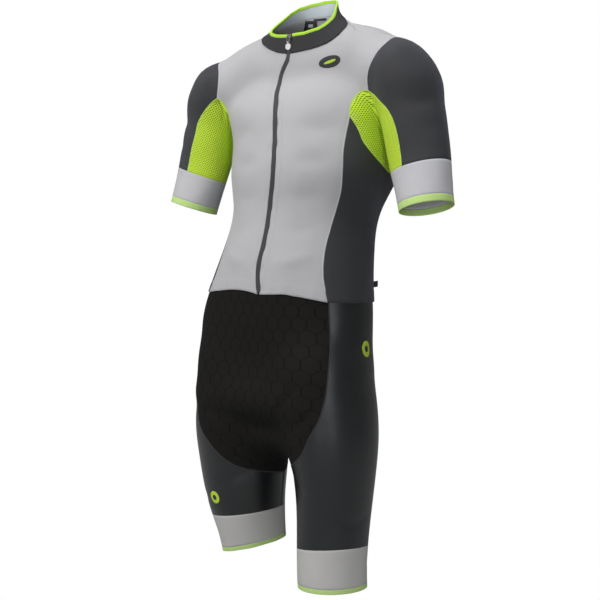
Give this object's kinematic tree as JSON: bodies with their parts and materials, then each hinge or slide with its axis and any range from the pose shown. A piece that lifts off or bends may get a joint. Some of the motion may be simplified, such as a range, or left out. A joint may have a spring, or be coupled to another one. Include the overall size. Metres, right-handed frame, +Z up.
{
  "type": "cycling speed suit",
  "caption": "Short-sleeved cycling speed suit in its worn, hollow form, with a stand collar, full front zip and banded sleeves and legs.",
  "frame": {"origin": "middle of the base of the neck, between the shoulders, where the wearer's shoulders carry the suit", "axes": "+Z up along the wearer, -Y the way the chest faces, +X to the wearer's left"},
  "size_m": [0.5624, 0.2597, 1.0206],
  "materials": {
    "grey_knit": "smooth matt knit",
    "black_knit": "smooth knit, faint sheen",
    "lime_mesh": "open mesh knit",
    "lime_rib": "ribbed elastic binding",
    "band_knit": "fine ribbed elastic",
    "collar_knit": "double knit, matt",
    "facing_knit": "matt knit",
    "shorts_cells": "matt, embossed with rows of cells",
    "gloss_lycra": "glossy stretch cloth",
    "tab_webbing": "fine webbing",
    "label_cloth": "woven satin",
    "zip_teeth": "moulded teeth on tape",
    "zip_metal": "dark lacquer",
    "pull_disc": "satin grey"
  },
  "bodies": {
    "suit": {"front_left": "grey_knit", "front_right": "grey_knit", "back": "grey_knit", "side_tab": "tab_webbing", "side_left": "black_knit", "side_right": "black_knit", "gusset_body_left": "lime_mesh", "gusset_body_right": "lime_mesh", "gusset_sleeve_left": "lime_mesh", "gusset_sleeve_right": "lime_mesh", "sleeve_left": "black_knit", "sleeve_right": "black_knit", "cuff_band_left": "band_knit", "cuff_band_right": "band_knit", "cuff_trim_left": "lime_rib", "cuff_trim_right": "lime_rib", "shorts_front": "shorts_cells", "shorts_seat": "shorts_cells", "leg_panel_left": "gloss_lycra", "leg_panel_right": "gloss_lycra", "leg_band_left": "band_knit", "leg_band_right": "band_knit", "leg_trim_left": "lime_rib", "leg_trim_right": "lime_rib", "collar": "collar_knit", "collar_facing": "facing_knit", "collar_binding": "lime_rib", "zip_chain": "zip_teeth", "zip_slider": "zip_metal", "neck_label": "label_cloth"},
    "zip_link": {"zip_link": "zip_metal"},
    "zip_disc": {"zip_disc": "pull_disc"}
  },
  "joints": [
    {"name": "zip_link_swing", "type": "hinge", "parent": "suit", "child": "zip_link", "pos_m": [0, -0.05373, -0.03319], "axis": [-1, 0, 0], "range_deg": [0, 150]},
    {"name": "zip_disc_swing", "type": "hinge", "parent": "zip_link", "child": "zip_disc", "pos_m": [0, -0.05373, -0.04179], "axis": [-1, 0, 0], "range_deg": [0, 60]}
  ]
}
